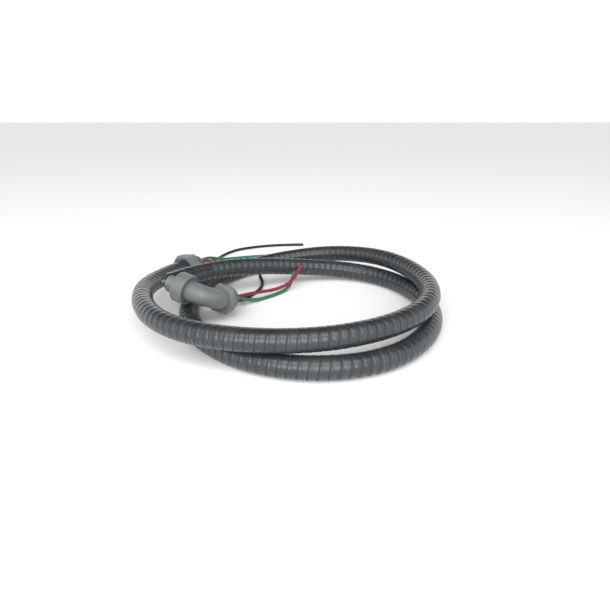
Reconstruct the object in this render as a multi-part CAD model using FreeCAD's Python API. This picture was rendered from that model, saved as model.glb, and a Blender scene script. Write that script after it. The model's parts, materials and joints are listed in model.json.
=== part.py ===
"""Liquidtight flexible conduit whip: a length of jacketed flexible conduit laid in two loose turns,
with a straight connector on one end, a 90 degree connector on its wires beside the other end, and
three insulated wires that run through all of it and come out at both ends.

Millimetres, +Z up.  The origin is on the floor, under the middle of the conduit and its connectors.
"""
import FreeCAD, Part
from FreeCAD import Placement, Rotation, Vector
import math
import os

# ---------------------------------------------------------------- driving dimensions
# Conduit, half-inch trade size
CONDUIT_OD = 21.3            # jacket outside
JACKET_WALL = 1.35
CORE_WALL = 1.2              # interlocked strip, both layers
CORE_GAP = 0.05              # jacket bore to strip

# Wires, 10 AWG
WIRE_OD = 4.17               # insulation outside
CONDUCTOR_OD = 2.9           # stranded copper
CONDUCTOR_GAP = 0.02
WIRE_SPACING = 0.1           # between neighbouring wires of the bundle

# Gland end, the same on both connectors
GLAND_NUT_LENGTH = 13.5
GLAND_CUP_WALL = 2.35        # threaded cup of the body, outside the conduit
ROUND_NUT_WALL = 3.0         # 90 degree connector: outside the thread
HEXAGON_NUT_WALL = 2.5       # straight connector: from the thread to the flats
GLAND_LIP = 2.2              # turned-in lip at the conduit side
GRIP_RING_LENGTH = 3.6
FERRULE_LENGTH = 24.5        # seat to open end
FERRULE_WALL = 1.35
FERRULE_FLANGE = 1.2
CONDUIT_SOCKET = 4.8         # how far the conduit enters the body

# Box end, the same on both connectors: half-inch straight pipe thread
HUB_THREAD_OD = 20.95
HUB_THREAD_LENGTH = 16.0
THREAD_RUN_OUT = 0.3         # radial, how much lower the thread is up to just past the locknut
RUN_OUT_PAST_LOCKNUT = 1.3
THROAT_WALL = 3.475          # from the thread to the bore through the connector bodies
FLANGE_STEP = 4.525          # from the thread to the hexagon's flats
FLANGE_THICKNESS = 6.0       # 90 degree connector
STRAIGHT_FLANGE = 5.0        # straight connector
GASKET_STEP = 3.025          # from the thread to the gasket's rim
GASKET_THICKNESS = 2.0
LOCKNUT_STEP = 3.775         # from the thread to the locknut's rim
LOCKNUT_THICKNESS = 4.5
LOCKNUT_NOTCHES = 8
NOTCH_WIDTH = 4.0
NOTCH_DEPTH = 1.8

# 90 degree connector
ELBOW_TUBE_WALL = 3.5
ELBOW_BEND = 17.0            # radius of the tube's centre line
ELBOW_GLAND_ARM = 27.2       # corner to the gland shoulder
ELBOW_HUB_ARM = 22.3         # corner to the near face of the hexagon
ELBOW_FLARE = 5.0            # length of the cone that meets the hexagon
ELBOW_RECESS = 0.8           # how deep its gland thread ends inside the round nut

# Fits
RUNNING = 0.05               # radial, screw threads and turning rings
SLIDING = 0.3                # radial, what slides along the conduit
SEAT_GAP = 0.2               # between faces that move apart
EASY = 0.1                   # radial, pieces pushed together once

# Where the 90 degree connector lies: its corner, and its turn (yaw, pitch, roll)
ELBOW_CORNER = Vector(-73, -49, 32)
ELBOW_TURN = Rotation(158, -12.8, 21.4)

# Centre line of the conduit, from the straight connector to the cut end: x, y and the rise above
# a conduit that lies on the floor.
CONDUIT_ROUTE = [
    (-137, 102, 6), (-163, 28, 13), (-147, -49, 19), (-106, -109, 22), (-42, -137, 22),
    (33, -139, 22), (101, -112, 22), (148, -62, 22), (162, 13, 22), (129, 96, 22),
    (61, 147, 13), (-16, 146, 3), (-80, 98, 0), (-110, 22, 0), (-99, -59, 0),
    (-51, -122, 0), (23, -149, 0), (96, -134, 0), (147, -79, 0), (163, -6, 0),
    (141, 61, 0), (88, 99, 2), (18, 93, 9), (-50, 63, 20), (-101, 27, 25), (-127, -12, 25)]

# The wires' bend between the cut end and the 90 degree connector: how far each straight part reaches
# past the cut end and past the ferrule.
BEND_PAST_CUT = 9.0
BEND_PAST_FERRULE = 10.0

# Free ends of the wires: x, y and the rise above a wire that lies on the floor.  Each starts with a
# straight lead out of its connector.
TAIL_LEAD = 14.0
ELBOW_TAILS = {
    "red": [(-37, 28, 9), (-12, 43, 6), (4, 57, 11), (12, 69, 17), (17, 76, 24)],
    "green": [(-38, 17, 0), (-16, 35, 0), (0, 53, 1), (5, 65, 7), (8, 74, 17)],
    "black": [(-53, 17, 1), (-44, 36, 0), (-37, 54, 0), (-36, 72, 0), (-39, 88, 0), (-43, 103, 0)],
}
STRAIGHT_TAILS = {
    "black": [(-110, 172, 1), (-101, 203, 0), (-84, 231, 0), (-54, 253, 0), (-19, 262, 0), (19, 264, 0)],
    "green": [(-118, 151, 11), (-103, 170, 3), (-83, 188, 0), (-54, 197, 0), (-22, 201, 0), (10, 202, 0),
              (42, 199, 0)],
    "red": [(-103, 153, 3), (-81, 170, 0), (-52, 180, 0), (-22, 184, 0), (9, 183, 0), (38, 178, 0)],
}
WIRE_COLOURS = ["black", "red", "green"]
BUNDLE_TURN = 105.0          # degrees, first wire of the bundle round its centre

# ---------------------------------------------------------------- values that follow
conduit_r = CONDUIT_OD / 2
jacket_bore_r = conduit_r - JACKET_WALL
core_r = jacket_bore_r - CORE_GAP
core_bore_r = core_r - CORE_WALL
wire_r = WIRE_OD / 2
bundle_r = (WIRE_OD + WIRE_SPACING) / math.sqrt(3)
gland_thread_r = conduit_r + GLAND_CUP_WALL
hub_thread_r = HUB_THREAD_OD / 2
throat_r = hub_thread_r - THROAT_WALL
flange_flats = 2 * (hub_thread_r + FLANGE_STEP)
gasket_r = hub_thread_r + GASKET_STEP
locknut_r = hub_thread_r + LOCKNUT_STEP
ferrule_r = core_bore_r - EASY
ferrule_bore_r = ferrule_r - FERRULE_WALL
X = Vector(1, 0, 0)

# From the flange's face: gasket, locknut, and the end of the thread's run-out
locknut_start = GASKET_THICKNESS + 2 * SEAT_GAP
free_thread = locknut_start + LOCKNUT_THICKNESS + RUN_OUT_PAST_LOCKNUT

# Distances along a connector, from the conduit side of its gland nut
ring_start = GLAND_LIP + SEAT_GAP
body_start = ring_start + GRIP_RING_LENGTH + SEAT_GAP
conduit_end = body_start + CONDUIT_SOCKET
seat = conduit_end + FERRULE_FLANGE


# ---------------------------------------------------------------- shapes about the X axis
def rod(radius, start, end):
    return Part.makeCylinder(radius, end - start, Vector(start, 0, 0), X)


def ring(outer, inner, start, end):
    return rod(outer, start, end).cut(rod(inner, start - 1, end + 1))


def hexagon(across_flats, start, end, chamfer=0.0):
    """Hexagonal bar with two corners up and down the local Y axis; its corners may be turned down."""
    corner = across_flats / math.sqrt(3)
    points = [Vector(start, corner * math.cos(math.radians(60 * k)), corner * math.sin(math.radians(60 * k)))
              for k in range(6)]
    bar = Part.Face(Part.makePolygon(points + points[:1])).extrude(Vector(end - start, 0, 0))
    if chamfer:
        middle = (start + end) / 2
        half = (end - start) / 2
        turned = Part.makeCone(corner, corner - chamfer, chamfer, Vector(end - chamfer, 0, 0), X)
        turned = turned.fuse(rod(corner, middle, end - chamfer))
        other = turned.mirror(Vector(middle, 0, 0), X)
        bar = bar.common(turned.fuse(other)) if half > chamfer else bar
    return bar


# ---------------------------------------------------------------- paths of runs and arcs
def arc_radii(points):
    """Radius at each inner point: 0.45 of the shorter run, over the tangent of half the turn."""
    radii = []
    for before, here, after in zip(points, points[1:], points[2:]):
        turn = (here - before).getAngle(after - here)
        shorter = min((here - before).Length, (after - here).Length)
        radii.append(0.45 * shorter / math.tan(turn / 2))
    return radii


def spans(points, radii):
    """Straight spans (start, end) and arc spans (start, end, centre, axis, degrees) in order."""
    result = []
    start = points[0]
    for before, here, after, radius in zip(points, points[1:], points[2:], radii):
        way_in = (here - before).normalize()
        way_out = (after - here).normalize()
        turn = way_in.getAngle(way_out)
        reach = radius * math.tan(turn / 2)
        arc_start = here - way_in * reach
        arc_end = here + way_out * reach
        axis = way_in.cross(way_out).normalize()
        centre = arc_start + axis.cross(way_in) * radius
        result.append((start, arc_start))
        result.append((arc_start, arc_end, centre, axis, math.degrees(turn)))
        start = arc_end
    result.append((start, points[-1]))
    return result


def path_at(path, offset):
    """Edges of the path moved sideways by an offset that turns with it, and the offset at its end."""
    edges = []
    for span in path:
        start, end = span[0] + offset, span[1]
        if len(span) == 2:
            end = end + offset
            edges.append(Part.LineSegment(start, end).toShape())
            continue
        centre, axis, degrees = span[2:]
        middle = centre + Rotation(axis, degrees / 2).multVec(start - centre)
        offset = Rotation(axis, degrees).multVec(offset)
        edges.append(Part.Arc(start, middle, end + offset).toShape())
    return edges, offset


def tube(path, outer, inner=0.0, offset=Vector()):
    """Round tube or rod along a path."""
    edges, last = path_at(path, offset)
    start = path[0][0] + offset
    way = path[0][1] - path[0][0]
    wire = Part.Wire(edges)

    def swept(radius):
        circle = Part.Wire(Part.makeCircle(radius, start, way))
        return wire.makePipeShell([circle], True, False)

    solid = swept(outer)
    section = math.pi * outer ** 2
    if inner:
        solid = solid.cut(swept(inner))
        section -= math.pi * inner ** 2
    expected = section * wire.Length
    assert abs(solid.Volume / expected - 1) < 0.01, "the sweep has lost volume"
    return solid, wire.Length, path[-1][1] + last


def on_floor(points, radius):
    return [Vector(x, y, radius + rise) for x, y, rise in points]


# ---------------------------------------------------------------- pieces of a connector
def gland_nut(outside):
    """Nut blank bored for its thread, with the turned-in lip left at the conduit side."""
    bore = rod(gland_thread_r + RUNNING, GLAND_LIP, GLAND_NUT_LENGTH + 1)
    mouth = rod(conduit_r + SLIDING, -1, GLAND_LIP + 1)
    return outside.cut(bore).cut(mouth)


def grip_ring():
    return ring(gland_thread_r, conduit_r + SLIDING, ring_start, ring_start + GRIP_RING_LENGTH)


def ferrule():
    """Sleeve for the conduit's bore, with the flange that caps the conduit's end."""
    sleeve = ring(ferrule_r, ferrule_bore_r, seat - FERRULE_LENGTH, seat)
    return sleeve.fuse(ring(conduit_r, ferrule_bore_r, conduit_end, seat)).removeSplitter()


def gland_socket(shoulder):
    """Threaded cup of a connector body that the conduit's end goes into."""
    cup = rod(gland_thread_r, body_start, shoulder)
    return cup.cut(rod(conduit_r + EASY, body_start - 1, seat))


def hub_thread(face):
    """Threaded end for the box wall, full height from just past the locknut to its tip."""
    neck = rod(hub_thread_r - THREAD_RUN_OUT, face, face + free_thread)
    return neck.fuse(rod(hub_thread_r, face + free_thread, face + HUB_THREAD_LENGTH))


def gasket(face):
    return ring(gasket_r, hub_thread_r + RUNNING, face + SEAT_GAP, face + SEAT_GAP + GASKET_THICKNESS)


def locknut(face):
    """Notched ring nut that holds the connector in a box wall."""
    start = face + locknut_start
    nut = ring(locknut_r, hub_thread_r + RUNNING, start, start + LOCKNUT_THICKNESS)
    notch = Part.makeBox(LOCKNUT_THICKNESS + 2, NOTCH_WIDTH, NOTCH_DEPTH * 2,
                         Vector(start - 1, -NOTCH_WIDTH / 2, locknut_r - NOTCH_DEPTH))
    for k in range(LOCKNUT_NOTCHES):
        cutter = notch.copy()
        cutter.rotate(Vector(), X, 360 / LOCKNUT_NOTCHES * (k + 0.5))
        nut = nut.cut(cutter)
    return nut


# ---------------------------------------------------------------- assembly
parts = {}
conduit_points = on_floor(CONDUIT_ROUTE, conduit_r)
conduit_radii = arc_radii(conduit_points)
conduit_path = spans(conduit_points, conduit_radii)

jacket, conduit_length, _ = tube(conduit_path, conduit_r, jacket_bore_r)
core, _, _ = tube(conduit_path, core_r, core_bore_r)
parts["conduit_jacket"] = jacket
parts["conduit_core"] = core

# Straight connector: its X axis runs from the conduit out to the box.
exit_way = (conduit_points[0] - conduit_points[1]).normalize()
straight_yaw = math.degrees(math.atan2(exit_way.y, exit_way.x))
straight_pitch = -math.degrees(math.asin(exit_way.z))
straight_place = Placement(conduit_points[0] - exit_way * conduit_end,
                           Rotation(straight_yaw, straight_pitch, 0))
straight_shoulder = GLAND_NUT_LENGTH + SEAT_GAP
straight_face = straight_shoulder + STRAIGHT_FLANGE
straight_tip = straight_face + HUB_THREAD_LENGTH

straight_body = gland_socket(straight_shoulder)
straight_body = straight_body.fuse(hexagon(flange_flats, straight_shoulder, straight_face, 1.0))
straight_body = straight_body.fuse(hub_thread(straight_face)).removeSplitter()
straight_body = straight_body.cut(rod(throat_r, seat - 1, straight_tip + 1))

for name, piece in (("straight_body", straight_body),
                    ("straight_ferrule", ferrule()),
                    ("straight_grip_ring", grip_ring()),
                    ("straight_gland_nut", gland_nut(hexagon(2 * (gland_thread_r + HEXAGON_NUT_WALL), 0, GLAND_NUT_LENGTH, 1.5))),
                    ("straight_gasket", gasket(straight_face)),
                    ("straight_locknut", locknut(straight_face))):
    piece.Placement = straight_place.multiply(piece.Placement)
    parts[name] = piece

# 90 degree connector: its corner is its local origin, the gland arm runs along +X and the hub arm
# along -Y.
elbow_place = Placement(ELBOW_CORNER, ELBOW_TURN)
elbow_shoulder = GLAND_NUT_LENGTH - ELBOW_RECESS
to_gland = Placement(Vector(ELBOW_GLAND_ARM + elbow_shoulder, 0, 0), Rotation(180, 0, 0))
to_hub = Placement(Vector(), Rotation(-90, 0, 0))
elbow_face = ELBOW_HUB_ARM + FLANGE_THICKNESS
elbow_tip = elbow_face + HUB_THREAD_LENGTH
tube_r = throat_r + ELBOW_TUBE_WALL
flare_r = flange_flats / 2 - 1.0


def bend(radius):
    """Quarter turn of round bar between the two arms."""
    disc = Part.Face(Part.Wire(Part.makeCircle(radius, Vector(ELBOW_BEND, 0, 0), X)))
    return disc.revolve(Vector(ELBOW_BEND, -ELBOW_BEND, 0), Vector(0, 0, 1), 90)


gland_side = gland_socket(elbow_shoulder)
gland_side.Placement = to_gland
hub_side = Part.makeCone(tube_r, flare_r, ELBOW_FLARE, Vector(ELBOW_HUB_ARM - ELBOW_FLARE, 0, 0), X)
hub_side = hub_side.fuse(rod(tube_r, ELBOW_BEND, ELBOW_HUB_ARM))
hub_side = hub_side.fuse(hexagon(flange_flats, ELBOW_HUB_ARM, elbow_face, 1.0))
hub_side = hub_side.fuse(hub_thread(elbow_face))
hub_side.Placement = to_hub
elbow_body = bend(tube_r).fuse(rod(tube_r, ELBOW_BEND, ELBOW_GLAND_ARM))
elbow_body = elbow_body.fuse([gland_side, hub_side]).removeSplitter()
throat = Part.makeCylinder(throat_r, elbow_tip + 1 - ELBOW_BEND, Vector(0, -ELBOW_BEND, 0), Vector(0, -1, 0))
elbow_body = elbow_body.cut(bend(throat_r))
elbow_body = elbow_body.cut(rod(throat_r, ELBOW_BEND, ELBOW_GLAND_ARM + elbow_shoulder - seat)).cut(throat)

for name, piece, way in (("elbow_body", elbow_body, Placement()),
                         ("elbow_ferrule", ferrule(), to_gland),
                         ("elbow_grip_ring", grip_ring(), to_gland),
                         ("elbow_gland_nut", gland_nut(rod(gland_thread_r + ROUND_NUT_WALL, 0, GLAND_NUT_LENGTH)), to_gland),
                         ("elbow_gasket", gasket(elbow_face), to_hub),
                         ("elbow_locknut", locknut(elbow_face), to_hub)):
    piece.Placement = elbow_place.multiply(way).multiply(piece.Placement)
    parts[name] = piece

# Wires: three parallel strands from the tip of the straight connector, through the conduit, over the
# bend beside its cut end and out at the tip of the 90 degree connector.
gland_axis = ELBOW_TURN.multVec(X)
hub_axis = ELBOW_TURN.multVec(Vector(0, -1, 0))
ferrule_mouth = ELBOW_GLAND_ARM + elbow_shoulder - seat + FERRULE_LENGTH
cut_way = (conduit_points[-1] - conduit_points[-2]).normalize()
bend_points = [conduit_points[-1] + cut_way * BEND_PAST_CUT,
               ELBOW_CORNER + gland_axis * (ferrule_mouth + BEND_PAST_FERRULE)]
straight_exit = straight_place.multVec(Vector(straight_tip, 0, 0))
elbow_exit = ELBOW_CORNER + hub_axis * elbow_tip
bundle_points = [straight_exit] + conduit_points[1:-1] + bend_points + [ELBOW_CORNER, elbow_exit]
bend_radii = arc_radii([conduit_points[-1]] + bend_points + [ELBOW_CORNER])
bundle_path = spans(bundle_points, conduit_radii + bend_radii + [ELBOW_BEND])

start_way = (bundle_points[1] - bundle_points[0]).normalize()
side = start_way.cross(Vector(0, 0, 1)).normalize()


def tail_path(exit_point, way, route):
    points = [exit_point, exit_point + way * TAIL_LEAD] + on_floor(route, wire_r)
    return points, spans(points, arc_radii(points))


conductor_r = CONDUCTOR_OD / 2
report = {"conduit": (conduit_length, conduit_radii)}
for k, colour in enumerate(WIRE_COLOURS):
    offset = Rotation(start_way, BUNDLE_TURN + 120 * k).multVec(side * bundle_r)
    insulation, length, last = tube(bundle_path, wire_r, conductor_r + CONDUCTOR_GAP, offset)
    conductor, _, _ = tube(bundle_path, conductor_r, 0, offset)
    parts[f"{colour}_insulation"] = insulation
    parts[f"{colour}_conductor"] = conductor
    print(f"{colour} wire inside: {length:.0f} mm")
    for end, exit_point, way, route in (("straight", straight_exit + offset, exit_way, STRAIGHT_TAILS[colour]),
                                        ("elbow", last, hub_axis, ELBOW_TAILS[colour])):
        points, path = tail_path(exit_point, way, route)
        cover, length, _ = tube(path, wire_r, conductor_r + CONDUCTOR_GAP)
        copper, _, _ = tube(path, conductor_r)
        parts[f"{colour}_tail_{end}"] = cover
        parts[f"{colour}_tail_{end}_copper"] = copper
        report[f"{colour}_tail_{end}"] = (length, arc_radii(points))
        print(f"{colour}_tail_{end} starts", [tuple(round(c, 1) for c in p) for p in points[:2]])

# ---------------------------------------------------------------- output
for name, (length, radii) in report.items():
    print(f"{name}: {length:.0f} mm long, radii", [round(r) for r in radii])

os.makedirs("parts", exist_ok=True)
box = FreeCAD.BoundBox()
for name, shape in parts.items():
    assert shape.isValid() and len(shape.Solids) == 1, f"{name} is not one sound solid"
    shape.exportStep(f"parts/{name}.step")
    if "_tail_" not in name:
        box.add(shape.BoundBox)
print("without the tails: x", round(box.XMin, 1), round(box.XMax, 1), "y", round(box.YMin, 1),
      round(box.YMax, 1), "z", round(box.ZMin, 2), round(box.ZMax, 1))
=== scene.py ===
import json
import math
from bisect import bisect_right

import bmesh
import bpy
from mathutils import Matrix, Vector


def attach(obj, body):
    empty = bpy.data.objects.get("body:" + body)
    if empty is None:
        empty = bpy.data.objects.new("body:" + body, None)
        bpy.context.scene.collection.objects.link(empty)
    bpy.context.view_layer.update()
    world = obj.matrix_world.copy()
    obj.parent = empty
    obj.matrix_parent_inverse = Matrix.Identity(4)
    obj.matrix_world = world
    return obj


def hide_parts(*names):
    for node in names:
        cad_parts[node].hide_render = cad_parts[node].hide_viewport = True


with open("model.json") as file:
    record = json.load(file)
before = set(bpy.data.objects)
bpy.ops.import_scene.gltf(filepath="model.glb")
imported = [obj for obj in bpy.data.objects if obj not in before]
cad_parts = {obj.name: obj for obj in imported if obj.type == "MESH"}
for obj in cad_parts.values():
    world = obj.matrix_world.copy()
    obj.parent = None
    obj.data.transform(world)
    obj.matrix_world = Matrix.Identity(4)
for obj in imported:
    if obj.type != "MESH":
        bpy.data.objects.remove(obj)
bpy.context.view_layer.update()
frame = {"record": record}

# ---------------------------------------------------------------- camera
# A short lens close in front of the coil, looking down on it.
camera_aim = Vector((0.022, 0.010, 0.0))
camera_distance = 0.4984
camera_elevation = math.radians(23.67)

camera_data = bpy.data.cameras.new("camera")
camera_data.sensor_width = 36.0
camera_data.lens = 25.08
camera_data.clip_start = 0.01
camera = bpy.data.objects.new("camera", camera_data)
camera.location = camera_aim + camera_distance * Vector((0, -math.cos(camera_elevation), math.sin(camera_elevation)))
camera.rotation_euler = (math.pi / 2 - camera_elevation, 0, 0)
bpy.context.scene.collection.objects.link(camera)
bpy.context.scene.camera = camera

# ---------------------------------------------------------------- conduit jacket
# A grey PVC jacket pressed over an interlocked steel strip, so the strip's turns show through it as
# wide bands with narrow grooves between them.  It lies in two loose turns, held at its first end by
# the straight connector's gland and cut square at its free end.
conduit_route = [
    (-0.137, 0.102, 0.01665), (-0.163, 0.028, 0.02365), (-0.147, -0.049, 0.02965), (-0.106, -0.109, 0.03265),
    (-0.042, -0.137, 0.03265), (0.033, -0.139, 0.03265), (0.101, -0.112, 0.03265), (0.148, -0.062, 0.03265),
    (0.162, 0.013, 0.03265), (0.129, 0.096, 0.03265), (0.061, 0.147, 0.02365), (-0.016, 0.146, 0.01365),
    (-0.080, 0.098, 0.01065), (-0.110, 0.022, 0.01065), (-0.099, -0.059, 0.01065), (-0.051, -0.122, 0.01065),
    (0.023, -0.149, 0.01065), (0.096, -0.134, 0.01065), (0.147, -0.079, 0.01065), (0.163, -0.006, 0.01065),
    (0.141, 0.061, 0.01065), (0.088, 0.099, 0.01265), (0.018, 0.093, 0.01965), (-0.050, 0.063, 0.03065),
    (-0.101, 0.027, 0.03565), (-0.127, -0.012, 0.03565)]
conduit_radius = 0.01065
jacket_bore = 0.0093
band_pitch = 0.0082
groove_depth = 0.00034


def route_line(points):
    """The points of the smooth line that a cord takes through its route."""
    curve = bpy.data.curves.new("route", "CURVE")
    curve.dimensions = "3D"
    curve.resolution_u = 24
    spline = curve.splines.new("NURBS")
    spline.points.add(len(points) - 1)
    for point, place in zip(spline.points, points):
        point.co = (*place, 1)
    spline.order_u = 3
    spline.use_endpoint_u = True
    holder = bpy.data.objects.new("route", curve)
    bpy.context.scene.collection.objects.link(holder)
    followed = bpy.data.meshes.new_from_object(holder)
    line = [vertex.co.copy() for vertex in followed.vertices]
    bpy.data.objects.remove(holder)
    bpy.data.curves.remove(curve)
    bpy.data.meshes.remove(followed)
    return line


def line_length(line):
    return sum((b - a).length for a, b in zip(line, line[1:]))


def lay_along(work, line):
    """Bends straight work, which runs along X from the origin, onto a line."""
    reach = [0.0]
    for a, b in zip(line, line[1:]):
        reach.append(reach[-1] + (b - a).length)
    ways = [(line[min(k + 1, len(line) - 1)] - line[max(k - 1, 0)]).normalized() for k in range(len(line))]
    side = ways[0].cross(Vector((0, 0, 1))).normalized()
    sides = [side]
    for before, after in zip(ways, ways[1:]):
        side = before.rotation_difference(after) @ side
        side = (side - after * side.dot(after)).normalized()
        sides.append(side)
    for vertex in work.verts:
        along, across, up = vertex.co
        k = min(max(bisect_right(reach, along) - 1, 0), len(line) - 2)
        share = (along - reach[k]) / (reach[k + 1] - reach[k])
        blend = min(max(share, 0.0), 1.0)
        way = ways[k].lerp(ways[k + 1], blend).normalized()
        side = sides[k].lerp(sides[k + 1], blend).normalized()
        vertex.co = line[k].lerp(line[k + 1], share) + side * across + way.cross(side) * up


def repeat(work, step, count):
    """Repeats the work along X by doubling it until there are at least that many lengths of it."""
    made = 1
    while made < count:
        copy = bmesh.ops.duplicate(work, geom=work.verts[:] + work.edges[:] + work.faces[:])["geom"]
        bmesh.ops.translate(work, verts=[v for v in copy if isinstance(v, bmesh.types.BMVert)], vec=(step * made, 0, 0))
        made *= 2


def wound(profile, pitch, start, end, steps):
    """A surface whose profile over one pitch, (along, radius) points, winds round X from start to end."""
    work = bmesh.new()
    turns = math.ceil((end - start) / pitch) + 2
    edge = [work.verts.new((start - pitch * 1.5 + along, 0, radius)) for along, radius in profile]
    geometry = edge + [work.edges.new(pair) for pair in zip(edge, edge[1:])]
    bmesh.ops.spin(work, geom=geometry, cent=(0, 0, 0), axis=(1, 0, 0), dvec=(pitch / steps, 0, 0),
                   angle=2 * math.pi, steps=steps)
    repeat(work, pitch, turns)
    bmesh.ops.remove_doubles(work, verts=work.verts, dist=pitch * 1e-3)
    for place, way in ((start, -1), (end, 1)):
        bmesh.ops.bisect_plane(work, geom=work.verts[:] + work.edges[:] + work.faces[:], dist=1e-7,
                               plane_co=(place, 0, 0), plane_no=(way, 0, 0), clear_outer=True)
    bmesh.ops.recalc_face_normals(work, faces=work.faces)
    return work


def rim(work, place):
    """The open edges of the work that lie at a place along X."""
    return [edge for edge in work.edges if edge.is_boundary
            and all(abs(vertex.co.x - place) < 1e-5 for vertex in edge.verts)]


def grow(work, edges, along, radius):
    """Extrudes open edges round X to a new place along it and a new radius, and returns the new edges."""
    made = bmesh.ops.extrude_edge_only(work, edges=edges)["geom"]
    for vertex in made:
        if isinstance(vertex, bmesh.types.BMVert):
            across = Vector((0, vertex.co.y, vertex.co.z)).normalized() * radius
            vertex.co = (along, across.y, across.z)
    return [edge for edge in made if isinstance(edge, bmesh.types.BMEdge)]


def finished(name, work, finishes, body, nodes=(), sharp=35.0, softened=0.0):
    """Makes the work a piece that rides on a body, in place of the CAD nodes it stands for."""
    mesh = bpy.data.meshes.new(name)
    work.to_mesh(mesh)
    work.free()
    for finish in finishes:
        mesh.materials.append(finish)
    mesh.shade_smooth()
    mesh.set_sharp_from_angle(angle=math.radians(sharp))
    made = bpy.data.objects.new(name, mesh)
    bpy.context.scene.collection.objects.link(made)
    if softened:
        edges = made.modifiers.new("softened edges", "BEVEL")
        edges.width = softened
        edges.segments = 2
        edges.limit_method = "ANGLE"
        edges.angle_limit = math.radians(40)
        edges.harden_normals = True
    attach(made, body)
    if nodes:
        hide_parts(*nodes)
    return made


class Varying:
    """A number that changes over a surface: a shader socket that sums and products can be written with."""

    def __init__(self, finish, socket):
        self.finish, self.socket = finish, socket

    def maths(self, operation, first, second):
        return self.finish.node("ShaderNodeMath", {"operation": operation}, {0: first, 1: second})

    def __add__(self, other):
        return self.maths("ADD", self, other)

    def __sub__(self, other):
        return self.maths("SUBTRACT", self, other)

    def __rsub__(self, other):
        return self.maths("SUBTRACT", other, self)

    def __mul__(self, other):
        return self.maths("MULTIPLY", self, other)

    __radd__ = __add__
    __rmul__ = __mul__


class Finish:
    """A material in the making, with its surface shader."""

    def __init__(self, name, **settings):
        self.material = bpy.data.materials.new(name)
        self.material.use_nodes = True
        self.tree = self.material.node_tree
        self.shader = self.tree.nodes["Principled BSDF"]
        for socket, value in settings.items():
            self.shader.inputs[socket.replace("_", " ")].default_value = value

    def node(self, kind, settings, sockets, output=0):
        made = self.tree.nodes.new(kind)
        for name, value in settings.items():
            if name == "stops":
                ramp = made.color_ramp.elements
                while len(ramp) < len(value):
                    ramp.new(0.5)
                for stop, (place, colour) in zip(ramp, value):
                    stop.position, stop.color = place, (*colour, 1)
            else:
                setattr(made, name, value)
        for name, value in sockets.items():
            if isinstance(value, Varying):
                self.tree.links.new(value.socket, made.inputs[name])
            else:
                made.inputs[name].default_value = value
        return Varying(self, made.outputs[output])

    def place(self):
        return self.node("ShaderNodeTexCoord", {}, {}, "Object")

    def grain(self, scale, detail=4.0, rough=0.55, place=None):
        """Noise from 0 to 1 with about that many features to the metre."""
        return self.node("ShaderNodeTexNoise", {}, {"Vector": place or self.place(), "Scale": scale,
                                                    "Detail": detail, "Roughness": rough}, "Fac")

    def between(self, low, high, amount, gain=1.0):
        """Takes an amount from its low..high to 0..1, kept inside."""
        return self.node("ShaderNodeMapRange", {"clamp": True}, {"Value": amount, "From Min": low, "From Max": high,
                                                               "To Min": 0.0, "To Max": gain}, "Result")

    def blend(self, amount, first, second):
        """One colour into another."""
        made = self.tree.nodes.new("ShaderNodeMix")
        made.data_type = "RGBA"
        for slot, value in ((0, amount), (6, first), (7, second)):
            if isinstance(value, Varying):
                self.tree.links.new(value.socket, made.inputs[slot])
            else:
                made.inputs[slot].default_value = (*value, 1) if slot else value
        return Varying(self, made.outputs[2])

    def feed(self, socket, value):
        self.tree.links.new(value.socket, self.shader.inputs[socket])

    def raise_by(self, height, distance, strength=1.0):
        """Raises the surface by a height of 0 to 1 times a distance."""
        self.feed("Normal", self.node("ShaderNodeBump", {}, {"Height": height, "Distance": distance,
                                                             "Strength": strength}, "Normal"))


jacket_finish = Finish("jacket", IOR=1.45, Coat_Roughness=0.18)
bands = jacket_finish.node("ShaderNodeUVMap", {"uv_map": "bands"}, {}, "UV")
along_band = jacket_finish.node("ShaderNodeSeparateXYZ", {}, {"Vector": bands}, "X")
band_number = jacket_finish.node("ShaderNodeMath", {"operation": "FLOOR"}, {0: along_band, 1: 0.0})
within_band = jacket_finish.node("ShaderNodeMath", {"operation": "FRACT"}, {0: along_band, 1: 0.0})
# Per-band white noise: in the base colour it is a painted sheen, each band lighter or darker as if tilted to the light;
# it also varies the roughness.
band_tilt_sheen = jacket_finish.node("ShaderNodeTexWhiteNoise", {"noise_dimensions": "1D"}, {"W": band_number}, "Value")
from_edge = jacket_finish.node("ShaderNodeMath", {"operation": "ABSOLUTE"}, {0: within_band - 0.5, 1: 0.0})
# Mask of the grooves between bands, used to paint shade into them.
groove_painted_shade = jacket_finish.between(0.43, 0.49, from_edge)
near_groove = jacket_finish.between(0.37, 0.45, from_edge)
cloudy = jacket_finish.grain(38.0, 5.0, 0.6)
fine = jacket_finish.grain(1400.0, 3.0, 0.6)
grey = jacket_finish.blend(jacket_finish.between(0.25, 0.75, cloudy * 0.6 + band_tilt_sheen * 0.4),
                           (0.019, 0.023, 0.026), (0.029, 0.034, 0.038))
# The grooves' colour is painted near black: painted shade in the grooves.
jacket_finish.feed("Base Color", jacket_finish.blend(groove_painted_shade * 0.75, grey, (0.012, 0.013, 0.015)))
jacket_finish.feed("Roughness", 0.18 + band_tilt_sheen * 0.16 + fine * 0.08 + near_groove * 0.35)
jacket_finish.feed("Coat Weight", (1 - near_groove) * 0.4)
jacket_finish.raise_by(fine * 0.35 + cloudy * 0.65, 0.00025, 0.5)

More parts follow.
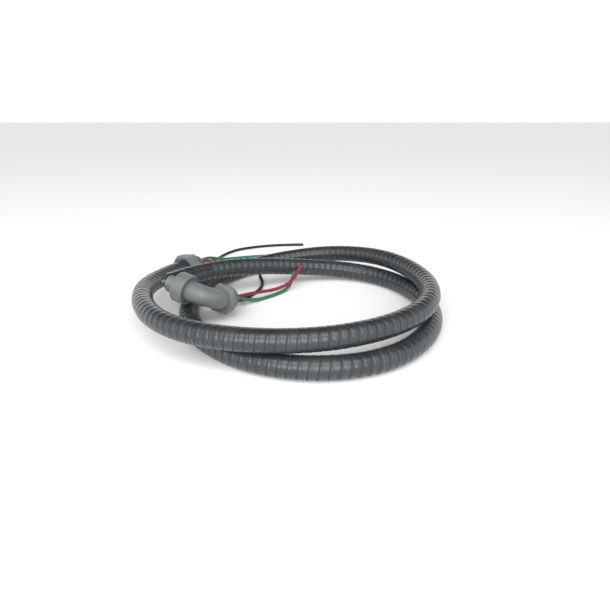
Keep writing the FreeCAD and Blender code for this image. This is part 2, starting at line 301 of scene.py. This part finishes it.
band = [(0.0, -groove_depth), (0.00024, -groove_depth * 0.85), (0.00052, -0.00013), (0.00110, -0.00003), (0.0041, 0.0),
        (0.00710, -0.00003), (0.00768, -0.00013), (0.00796, -groove_depth * 0.85), (0.0082, -groove_depth)]
conduit_line = route_line(conduit_route)
jacket_length = line_length(conduit_line)
work = wound([(along, conduit_radius + height) for along, height in band], band_pitch, 0.0, jacket_length, 32)
face_lip = grow(work, rim(work, jacket_length), jacket_length + 0.0001, conduit_radius - 0.00035)
cut_face = grow(work, face_lip, jacket_length + 0.0001, jacket_bore + 0.0002)
cut_face = grow(work, cut_face, jacket_length - 0.0002, jacket_bore)
grow(work, cut_face, jacket_length - 0.07, jacket_bore)
bmesh.ops.recalc_face_normals(work, faces=work.faces)
bands_map = work.loops.layers.uv.new("bands")
for face in work.faces:
    middle = face.calc_center_median()
    middle_turn = math.atan2(middle.z, middle.y)
    for loop in face.loops:
        turn = math.atan2(loop.vert.co.z, loop.vert.co.y)
        turn += 2 * math.pi * round((middle_turn - turn) / (2 * math.pi))
        phase = (loop.vert.co.x + band_pitch * 1.5) / band_pitch
        loop[bands_map].uv = (phase + (turn - math.pi / 2) / (2 * math.pi), turn)
lay_along(work, conduit_line)
jacket = finished("conduit_jacket_banded", work, [jacket_finish.material], "whip", ["conduit_jacket"],
                  sharp=60)

# ---------------------------------------------------------------- interlocked strip
# A galvanised steel strip, folded and wound so that each turn hooks into the one before.  It lines the
# jacket and shows at the cut end as a bright ridged ring.
strip_finish = Finish("galvanised strip", Metallic=0.9, Roughness=0.35)
spangle = strip_finish.grain(420.0, 2.0, 0.7)
strip_finish.feed("Base Color", strip_finish.blend(spangle, (0.42, 0.43, 0.44), (0.66, 0.67, 0.68)))
strip_finish.feed("Roughness", 0.28 + spangle * 0.25)
strip_finish.raise_by(spangle, 0.0001, 0.4)

strip_fold = [(0.0, 0.00885), (0.0012, 0.00882), (0.0015, 0.00815), (0.0066, 0.00815), (0.0069, 0.00882),
              (0.0082, 0.00885)]
strip_lip = 0.0003
work = wound(strip_fold, band_pitch, 0.0, jacket_length - strip_lip, 24)
bmesh.ops.reverse_faces(work, faces=work.faces)
strip_end = grow(work, rim(work, jacket_length - strip_lip), jacket_length, 0.0091)
grow(work, strip_end, jacket_length - 0.02, 0.0091)
lay_along(work, conduit_line)
finished("interlocked_strip", work, [strip_finish.material], "whip", ["conduit_core"])

# ---------------------------------------------------------------- wires through the conduit
# Three insulated copper wires that run side by side from the tip of the straight connector, through
# the conduit, over the short bend by its cut end and on through the 90 degree connector.
wire_radius = 0.002085
bundle_radius = 0.002465
wire_colours = {"black": ((0.005, 0.005, 0.006), (0.010, 0.010, 0.011)),
                "red": ((0.19, 0.010, 0.022), (0.26, 0.020, 0.036)),
                "green": ((0.014, 0.115, 0.058), (0.028, 0.175, 0.090))}
wire_bundle_route = [(-0.12917, 0.12427, 0.01454)] + conduit_route[1:-1] + [
    (-0.13050, -0.01700, 0.03570), (-0.12340, -0.02900, 0.04430), (-0.073, -0.049, 0.032),
    (-0.06087, -0.00942, 0.01624)]
wire_finishes = {}
for colour, (dark, light) in wire_colours.items():
    finish = Finish(f"{colour} insulation", Roughness=0.4, IOR=1.42, Coat_Weight=0.1, Coat_Roughness=0.2)
    streaks = finish.grain(90.0, 3.0)
    finish.feed("Base Color", finish.blend(finish.between(0.3, 0.7, streaks), dark, light))
    finish.feed("Roughness", 0.36 + finish.grain(900.0) * 0.16)
    finish.raise_by(finish.grain(260.0, 2.0), 0.0002, 0.35)
    wire_finishes[colour] = finish.material


def rod_shell(radius, start, end, step, across=0.0, up=0.0, segments=16):
    """An open round shell along X, in short lengths that can bend."""
    work = bmesh.new()
    bmesh.ops.create_circle(work, segments=segments, radius=radius,
                            matrix=Matrix.Translation((start, across, up)) @ Matrix.Rotation(math.pi / 2, 4, "Y"))
    bmesh.ops.spin(work, geom=work.edges[:], cent=(0, 0, 0), axis=(1, 0, 0), angle=0.0, steps=1, dvec=(step, 0, 0))
    repeat(work, step, math.ceil((end - start) / step))
    bmesh.ops.remove_doubles(work, verts=work.verts, dist=radius * 1e-2)
    bmesh.ops.bisect_plane(work, geom=work.verts[:] + work.edges[:] + work.faces[:], dist=1e-7,
                           plane_co=(end, 0, 0), plane_no=(1, 0, 0), clear_outer=True)
    bmesh.ops.recalc_face_normals(work, faces=work.faces)
    return work


bundle_line = route_line(wire_bundle_route)
for number, colour in enumerate(wire_colours):
    turn = math.radians(105 + 120 * number)
    across, up = bundle_radius * math.cos(turn), bundle_radius * math.sin(turn)
    work = rod_shell(wire_radius, 0.0, line_length(bundle_line), 0.005, across, up)
    lay_along(work, bundle_line)
    own_line = bmesh.new()
    for place in [0.004 * k for k in range(int(line_length(bundle_line) / 0.004) + 1)]:
        own_line.verts.new((place, across, up))
    lay_along(own_line, bundle_line)
    own_line.free()
    wire = finished(f"{colour}_wire_inside", work, [wire_finishes[colour]], "whip",
                    [f"{colour}_insulation", f"{colour}_conductor"])

# ---------------------------------------------------------------- free wire ends
# The same three wires where they leave each connector, cut square a hand's breadth or more past it.
# Each shows its ring of insulation and the twisted copper strands in its cut end.
wire_ends = {
    "black_tail_elbow": (0.120, [
        (-0.0610, -0.0103, 0.0139), (-0.0572, 0.0022, 0.0090), (-0.053, 0.017, 0.00309), (-0.043, 0.036, 0.00209),
        (-0.035, 0.054, 0.00209), (-0.033, 0.072, 0.00209), (-0.036, 0.089, 0.00209), (-0.040, 0.106, 0.00209)]),
    "red_tail_elbow": (0.123, [
        (-0.0629, -0.0084, 0.0173), (-0.0590, 0.0041, 0.0123), (-0.037, 0.027, 0.00900), (-0.012, 0.042, 0.00700),
        (0.005, 0.056, 0.01150), (0.012, 0.069, 0.01909), (0.017, 0.076, 0.02609)]),
    "green_tail_elbow": (0.118, [
        (-0.0588, -0.0096, 0.0175), (-0.0549, 0.0029, 0.0125), (-0.038, 0.017, 0.00209), (-0.016, 0.035, 0.00209),
        (0.000, 0.053, 0.00309), (0.005, 0.065, 0.00909), (0.008, 0.074, 0.01909)]),
    "black_tail_straight": (0.228, [
        (-0.1286, 0.1239, 0.0122), (-0.1240, 0.1370, 0.0109), (-0.113, 0.175, 0.00309), (-0.106, 0.208, 0.00209),
        (-0.088, 0.235, 0.00209), (-0.054, 0.253, 0.00209), (-0.019, 0.262, 0.00209), (0.019, 0.264, 0.00209)]),
    "green_tail_straight": (0.208, [
        (-0.1314, 0.1251, 0.0152), (-0.1268, 0.1383, 0.0139), (-0.118, 0.151, 0.01480), (-0.103, 0.170, 0.00509),
        (-0.083, 0.188, 0.00209), (-0.054, 0.197, 0.00209), (-0.022, 0.201, 0.00209), (0.010, 0.202, 0.00209),
        (0.042, 0.199, 0.00209)]),
    "red_tail_straight": (0.190, [
        (-0.1275, 0.1238, 0.0163), (-0.1229, 0.1370, 0.0150), (-0.103, 0.153, 0.00509), (-0.081, 0.170, 0.00209),
        (-0.052, 0.180, 0.00209), (-0.022, 0.184, 0.00209), (0.009, 0.183, 0.00209), (0.038, 0.178, 0.00209)]),
}
conductor_radius = 0.00145
strand_radius = 0.00028

copper_finish = Finish("copper strands", Metallic=1.0, Roughness=0.35)
tarnish = copper_finish.grain(700.0, 3.0)
copper_finish.feed("Base Color", copper_finish.blend(tarnish, (0.62, 0.27, 0.15), (0.85, 0.45, 0.28)))
copper_finish.feed("Roughness", 0.25 + tarnish * 0.25)

for name, (length, route) in wire_ends.items():
    colour = name.split("_")[0]
    line = route_line(route)
    run = line_length(line)
    strands = bmesh.new()
    circles = [(0, 0.0)] + [(1, k * math.pi / 3) for k in range(6)] + [(2, k * math.pi / 6) for k in range(12)]
    for circle, turn in circles:
        away = circle * strand_radius * 2.02
        for place in (0.0, 0.25, 0.5, 0.75):
            twist = turn + place * 0.9
            bmesh.ops.create_cone(strands, cap_ends=True, segments=8, radius1=strand_radius, radius2=strand_radius,
                                  depth=0.0016, matrix=Matrix.Translation((
                                      run - 0.0064 + place * 0.0064 + 0.0007, away * math.cos(twist),
                                      away * math.sin(twist))) @ Matrix.Rotation(math.pi / 2, 4, "Y"))
    lay_along(strands, line)
    strands = finished(f"{name}_strands", strands, [copper_finish.material], "whip", [f"{name}_copper"])
    work = rod_shell(wire_radius, 0.0, run - 0.0002, 0.003)
    cut = grow(work, rim(work, run - 0.0002), run, wire_radius - 0.0002)
    cut = grow(work, cut, run, conductor_radius + 0.00005)
    grow(work, cut, run - 0.006, conductor_radius + 0.00005)
    bmesh.ops.recalc_face_normals(work, faces=work.faces)
    lay_along(work, line)
    wire = finished(name + "_insulated", work, [wire_finishes[colour]], "whip", [name])

# ---------------------------------------------------------------- straight connector body
# Moulded grey plastic: a threaded cup that takes the conduit's end, a hexagon to hold it by, and the
# half-inch thread that goes into the box.  The wires leave through its bore.
joints = {joint["name"]: joint for joint in frame["record"]["behaviour"]["joints"]}


def along_axis(origin, axis, up=Vector((0, 0, 1))):
    """The place of a piece whose X runs along an axis from an origin."""
    axis = Vector(axis).normalized()
    side = up.cross(axis).normalized()
    return Matrix.Translation(origin) @ Matrix((axis, side, axis.cross(side))).transposed().to_4x4()


def turned(outline, steps=96, flats=0.0):
    """A closed outline of (along, radius) points turned round X, and cut to a hexagon of that half width."""
    work = bmesh.new()
    edge = [work.verts.new((along, 0, radius)) for along, radius in outline]
    geometry = edge + [work.edges.new(pair) for pair in zip(edge, edge[1:] + edge[:1])]
    bmesh.ops.spin(work, geom=geometry, cent=(0, 0, 0), axis=(1, 0, 0), angle=2 * math.pi, steps=steps, use_merge=True)
    if flats:
        for vertex in work.verts:
            turn = math.atan2(vertex.co.z, vertex.co.y) % (math.pi / 3) - math.pi / 6
            radius = math.hypot(vertex.co.y, vertex.co.z)
            share = min(1.0, flats / math.cos(turn) / radius)
            vertex.co.y *= share
            vertex.co.z *= share
    bmesh.ops.recalc_face_normals(work, faces=work.faces)
    return work


def together(*works):
    """Puts several shells into one piece of work."""
    whole = bmesh.new()
    for work in works:
        carried = bpy.data.meshes.new("shell")
        work.to_mesh(carried)
        work.free()
        whole.from_mesh(carried)
        bpy.data.meshes.remove(carried)
    return whole


def screw_thread(major, depth, pitch, start, end, steps=40):
    """A moulded outside thread with flat crests and roots."""
    crest = [(0.0, major - depth), (0.14, major - depth), (0.40, major), (0.60, major), (0.86, major - depth),
             (1.0, major - depth)]
    return wound([(share * pitch, radius) for share, radius in crest], pitch, start, end, steps)


cup_radius, cup_pitch = 0.0130, 0.0020
hub_radius, hub_pitch, hub_bore = 0.010475, 0.001814, 0.0070
flange_half = 0.0150
straight_flange, straight_face, straight_tip = 0.0137, 0.0187, 0.0347


def gland_cup(shoulder):
    """The threaded cup for the conduit's end."""
    work = screw_thread(cup_radius, 0.0009, cup_pitch, 0.0066, shoulder)
    mouth = grow(work, rim(work, 0.0066), 0.0062, cup_radius - 0.0011)
    mouth = grow(work, mouth, 0.0062, conduit_radius + 0.0001)
    mouth = grow(work, mouth, 0.0124, conduit_radius + 0.0001)
    grow(work, mouth, 0.0124, hub_bore)
    bmesh.ops.recalc_face_normals(work, faces=work.faces)
    return work


def box_thread(face, tip):
    """The half-inch thread, from the hexagon's face to its chamfered tip, with the bore for the wires."""
    work = screw_thread(hub_radius, 0.00085, hub_pitch, face - 0.0005, tip - 0.0007)
    end = grow(work, rim(work, tip - 0.0007), tip, hub_radius - 0.0013)
    end = grow(work, end, tip, hub_bore + 0.0006)
    end = grow(work, end, tip - 0.0006, hub_bore)
    grow(work, end, face - 0.004, hub_bore)
    bmesh.ops.recalc_face_normals(work, faces=work.faces)
    return work


def hexagon_flange(start, end, half):
    corner = half / math.cos(math.pi / 6)
    return turned([(start, 0.0078), (start, corner - 0.001), (start + 0.001, corner), (end - 0.001, corner),
                   (end, corner - 0.001), (end, 0.0078)], flats=half)


def moulded(name, dark, light, roughness):
    """Moulded plastic with a spark-eroded grain, slightly cloudy in shade."""
    finish = Finish(name, IOR=1.47)
    cloud = finish.grain(75.0, 4.0, 0.6)
    spark = finish.grain(2600.0, 2.0, 0.5)
    finish.feed("Base Color", finish.blend(finish.between(0.28, 0.72, cloud * 0.8 + spark * 0.2), dark, light))
    finish.feed("Roughness", roughness + finish.grain(300.0, 3.0) * 0.12)
    finish.raise_by(spark * 0.5 + cloud * 0.5, 0.00012, 0.45)
    return finish.material


connector_finish = moulded("connector plastic", (0.118, 0.128, 0.130), (0.152, 0.163, 0.166), 0.34)
straight_frame = along_axis(joints["straight_gland_turn"]["pos_m"], [-a for a in joints["straight_gland_turn"]["axis"]])
work = together(gland_cup(straight_flange), hexagon_flange(straight_flange, straight_face, flange_half),
                box_thread(straight_face, straight_tip))
work.transform(straight_frame)
finished("straight_connector_body", work, [connector_finish], "whip", ["straight_body"], softened=0.0003)

# ---------------------------------------------------------------- ferrules
# A plastic sleeve that screws into the conduit's bore.  Its flange caps the conduit's cut end, so the
# wires never touch the steel strip.
ferrule_finish = moulded("ferrule plastic", (0.135, 0.145, 0.148), (0.170, 0.181, 0.184), 0.38)
elbow_corner = Vector(joints["elbow_lock_turn"]["pos_m"])
gland_way = Vector(joints["elbow_gland_turn"]["axis"]).normalized()
hub_way = Vector(joints["elbow_lock_turn"]["axis"]).normalized()
gland_reach = 0.0399
elbow_turn = Matrix((gland_way, -hub_way, gland_way.cross(-hub_way))).transposed().to_4x4()
elbow_frame = Matrix.Translation(elbow_corner) @ elbow_turn
cup_place = Matrix.Translation((gland_reach, 0, 0)) @ Matrix.Rotation(math.pi, 4, "Z")
elbow_gland_frame = elbow_frame @ cup_place
elbow_hub_frame = elbow_frame @ Matrix.Rotation(-math.pi / 2, 4, "Z")

sleeve = [(0.0124, 0.0066), (0.0124, 0.01065), (0.0112, 0.01065), (0.0112, 0.00795), (-0.0070, 0.00795),
          (-0.0073, 0.00770), (-0.0082, 0.00770), (-0.0085, 0.00795), (-0.0113, 0.00795), (-0.0119, 0.00760),
          (-0.0121, 0.00730), (-0.0119, 0.00685), (-0.0113, 0.0066)]
for end, place in (("straight", straight_frame), ("elbow", elbow_gland_frame)):
    work = turned(sleeve, 64)
    work.transform(place)
    finished(f"{end}_ferrule_sleeve", work, [ferrule_finish], "whip", [f"{end}_ferrule"], softened=0.0002)

# ---------------------------------------------------------------- 90 degree connector body
# The same cup, hexagon and thread as the straight one's, joined by a smooth tube that turns a quarter
# circle and meets the hexagon with a small fillet.
tube_radius, tube_bend, tube_start = 0.0105, 0.017, 0.0272
elbow_flange, elbow_face, elbow_tip = 0.0223, 0.0283, 0.0443
cup_end = 0.0127
tube = bmesh.new()
bmesh.ops.create_circle(tube, segments=64, radius=tube_radius,
                        matrix=Matrix.Translation((tube_start, 0, 0)) @ Matrix.Rotation(math.pi / 2, 4, "Y"))
last = bmesh.ops.extrude_edge_only(tube, edges=tube.edges[:])["geom"]
bmesh.ops.translate(tube, verts=[v for v in last if isinstance(v, bmesh.types.BMVert)],
                    vec=(tube_bend - tube_start, 0, 0))
last = [edge for edge in last if isinstance(edge, bmesh.types.BMEdge)]
turned_end = bmesh.ops.spin(tube, geom=last, cent=(tube_bend, -tube_bend, 0), axis=(0, 0, 1), angle=math.pi / 2,
                            steps=24)
last = [edge for edge in turned_end["geom_last"] if isinstance(edge, bmesh.types.BMEdge)]
for along, radius in ((0.0173, tube_radius), (0.0200, tube_radius), (0.0212, 0.01062), (0.0219, 0.01095),
                      (elbow_flange, 0.01160)):
    last = bmesh.ops.extrude_edge_only(tube, edges=last)["geom"]
    for vertex in last:
        if isinstance(vertex, bmesh.types.BMVert):
            away = Vector((vertex.co.x, 0, vertex.co.z)).normalized() * radius
            vertex.co = (away.x, -along, away.z)
    last = [edge for edge in last if isinstance(edge, bmesh.types.BMEdge)]
bmesh.ops.recalc_face_normals(tube, faces=tube.faces)

cup = gland_cup(cup_end)
grow(cup, rim(cup, cup_end), cup_end, 0.0100)
bmesh.ops.recalc_face_normals(cup, faces=cup.faces)
cup.transform(cup_place)
hub = together(hexagon_flange(elbow_flange, elbow_face, flange_half), box_thread(elbow_face, elbow_tip))
hub.transform(Matrix.Rotation(-math.pi / 2, 4, "Z"))
work = together(tube, cup, hub)
work.transform(elbow_frame)
finished("elbow_connector_body", work, [connector_finish], "whip", ["elbow_body"], softened=0.0003)

# ---------------------------------------------------------------- sealing rings
# A smooth ring that each gland nut presses on the jacket to keep water out.
ring_finish = moulded("sealing ring plastic", (0.20, 0.20, 0.19), (0.25, 0.25, 0.24), 0.4)
for end, place in (("straight", straight_frame), ("elbow", elbow_gland_frame)):
    work = turned([(0.0024, 0.01095), (0.0024, 0.0125), (0.0029, 0.0130), (0.0060, 0.0130), (0.0060, 0.0112),
                   (0.0057, 0.01095)])
    work.transform(place)
    finished(f"{end}_sealing_ring", work, [ring_finish], f"{end}_ring", [f"{end}_grip_ring"],
             softened=0.00015)

# ---------------------------------------------------------------- gland nuts
# They screw over the cups and press the sealing rings onto the jacket: a hexagon on the straight
# connector, a plain round collar on the 90 degree one.
nut_finish = moulded("gland nut plastic", (0.124, 0.134, 0.136), (0.158, 0.169, 0.172), 0.36)
nut_bore, nut_mouth, nut_lip, nut_length = 0.01305, 0.01095, 0.0022, 0.0135
hexagon_half = 0.0155
hexagon_corner = hexagon_half / math.cos(math.pi / 6)
work = turned([(0.0, 0.0136), (0.0016, 0.0128), (0.0018, nut_mouth), (nut_lip, nut_mouth), (nut_lip, nut_bore),
               (nut_length, nut_bore), (nut_length, hexagon_corner - 0.0015), (0.0120, hexagon_corner),
               (0.0015, hexagon_corner), (0.0, hexagon_corner - 0.0015)], flats=hexagon_half)
work.transform(straight_frame)
finished("straight_hexagon_nut", work, [nut_finish], "straight_nut", ["straight_gland_nut"],
         softened=0.0005)

collar_radius = 0.0160
work = turned([(0.0, 0.0118), (0.0007, nut_mouth), (nut_lip, nut_mouth), (nut_lip, nut_bore), (0.0126, nut_bore),
               (nut_length, 0.0138), (nut_length, collar_radius - 0.0011), (0.0132, collar_radius - 0.0004),
               (0.0124, collar_radius), (0.0012, collar_radius), (0.0003, collar_radius - 0.0004),
               (0.0, collar_radius - 0.0012)])
work.transform(elbow_gland_frame)
finished("elbow_round_nut", work, [nut_finish], "elbow_nut", ["elbow_gland_nut"], softened=0.0003,
         sharp=25)

# ---------------------------------------------------------------- gaskets
# A black rubber washer that seals the box wall against each hexagon.
rubber_finish = Finish("gasket rubber", IOR=1.52)
rubber_dust = rubber_finish.grain(500.0, 4.0)
rubber_finish.feed("Base Color", rubber_finish.blend(rubber_dust, (0.016, 0.016, 0.017), (0.035, 0.035, 0.036)))
rubber_finish.feed("Roughness", 0.6 + rubber_dust * 0.25)
rubber_finish.raise_by(rubber_dust, 0.0001, 0.5)
for end, place, face in (("straight", straight_frame, straight_face), ("elbow", elbow_hub_frame, elbow_face)):
    work = turned([(face + 0.0002, 0.01053), (face + 0.0002, 0.0131), (face + 0.0006, 0.0135), (face + 0.0018, 0.0135),
                   (face + 0.0022, 0.0131), (face + 0.0022, 0.01053)])
    work.transform(place)
    finished(f"{end}_rubber_washer", work, [rubber_finish.material], f"{end}_washer", [f"{end}_gasket"],
             softened=0.0001)

# ---------------------------------------------------------------- locknuts
# A moulded ring nut with eight notches for a screwdriver's blade, run up to the gasket.  It holds the
# connector in the box wall.
locknut_finish = moulded("locknut plastic", (0.060, 0.065, 0.067), (0.085, 0.091, 0.093), 0.4)
notch_radius, notch_half_angle, notch_spacing = 0.01245, 8, 45
for end, place, face in (("straight", straight_frame, straight_face), ("elbow", elbow_hub_frame, elbow_face)):
    start, stop = face + 0.0024, face + 0.0069
    work = turned([(start, 0.01053), (start, 0.01375), (start + 0.0005, 0.01425), (stop - 0.0005, 0.01425),
                   (stop, 0.01375), (stop, 0.0117), (stop - 0.0006, 0.01053)], 144)
    for vertex in work.verts:
        turn = (math.degrees(math.atan2(vertex.co.z, vertex.co.y)) - 90) % notch_spacing - notch_spacing / 2
        radius = math.hypot(vertex.co.y, vertex.co.z)
        if abs(turn) < notch_half_angle and radius > notch_radius:
            vertex.co.y *= notch_radius / radius
            vertex.co.z *= notch_radius / radius
    work.transform(place)
    finished(f"{end}_notched_locknut", work, [locknut_finish], f"{end}_lock", [f"{end}_locknut"],
             softened=0.0002)

# ---------------------------------------------------------------- floor and lights
# A plain pale floor under soft light: a white room whose ceiling is dim towards the back, and two
# large boxes in front.
sheet = bmesh.new()
bmesh.ops.create_grid(sheet, x_segments=1, y_segments=1, size=30.0)
floor_mesh = bpy.data.meshes.new("floor")
sheet.to_mesh(floor_mesh)
sheet.free()
floor_finish = Finish("pale floor", Roughness=0.9, Base_Color=(0.93, 0.93, 0.93, 1), Specular_IOR_Level=0.1)
floor_mesh.materials.append(floor_finish.material)
floor = bpy.data.objects.new("floor", floor_mesh)
bpy.context.scene.collection.objects.link(floor)

bpy.context.scene.view_settings.view_transform = "Standard"
world = bpy.data.worlds.new("studio")
world.use_nodes = True
sky = world.node_tree
direction = sky.nodes.new("ShaderNodeTexCoord")
split = sky.nodes.new("ShaderNodeSeparateXYZ")
sky.links.new(direction.outputs["Generated"], split.inputs[0])
ranges = []
for axis, low, high in (("Z", 0.24, 0.55), ("Y", -0.20, 0.25)):
    part = sky.nodes.new("ShaderNodeMapRange")
    part.inputs["From Min"].default_value, part.inputs["From Max"].default_value = low, high
    sky.links.new(split.outputs[axis], part.inputs["Value"])
    ranges.append(part)
ceiling = sky.nodes.new("ShaderNodeMath")
ceiling.operation = "MULTIPLY"
for slot, part in enumerate(ranges):
    sky.links.new(part.outputs["Result"], ceiling.inputs[slot])
strength = sky.nodes.new("ShaderNodeMapRange")
room_strength, ceiling_strength = 1.40, 0.06
strength.inputs["To Min"].default_value = room_strength
strength.inputs["To Max"].default_value = ceiling_strength
sky.links.new(ceiling.outputs[0], strength.inputs["Value"])
sky.links.new(strength.outputs["Result"], sky.nodes["Background"].inputs["Strength"])
sky.nodes["Background"].inputs["Color"].default_value = (1, 1, 1, 1)
bpy.context.scene.world = world

for name, place, size, power in (("front box", (-0.1, -1.3, 0.55), (1.6, 0.7), 12.0),
                                 ("high box", (0.0, -0.75, 1.25), (1.6, 0.6), 7.0)):
    lamp_data = bpy.data.lights.new(name, "AREA")
    lamp_data.shape = "RECTANGLE"
    lamp_data.size, lamp_data.size_y = size
    lamp_data.energy = power
    lamp = bpy.data.objects.new(name, lamp_data)
    lamp.location = place
    lamp.rotation_euler = (-Vector(place)).to_track_quat("-Z", "Y").to_euler()
    bpy.context.scene.collection.objects.link(lamp)
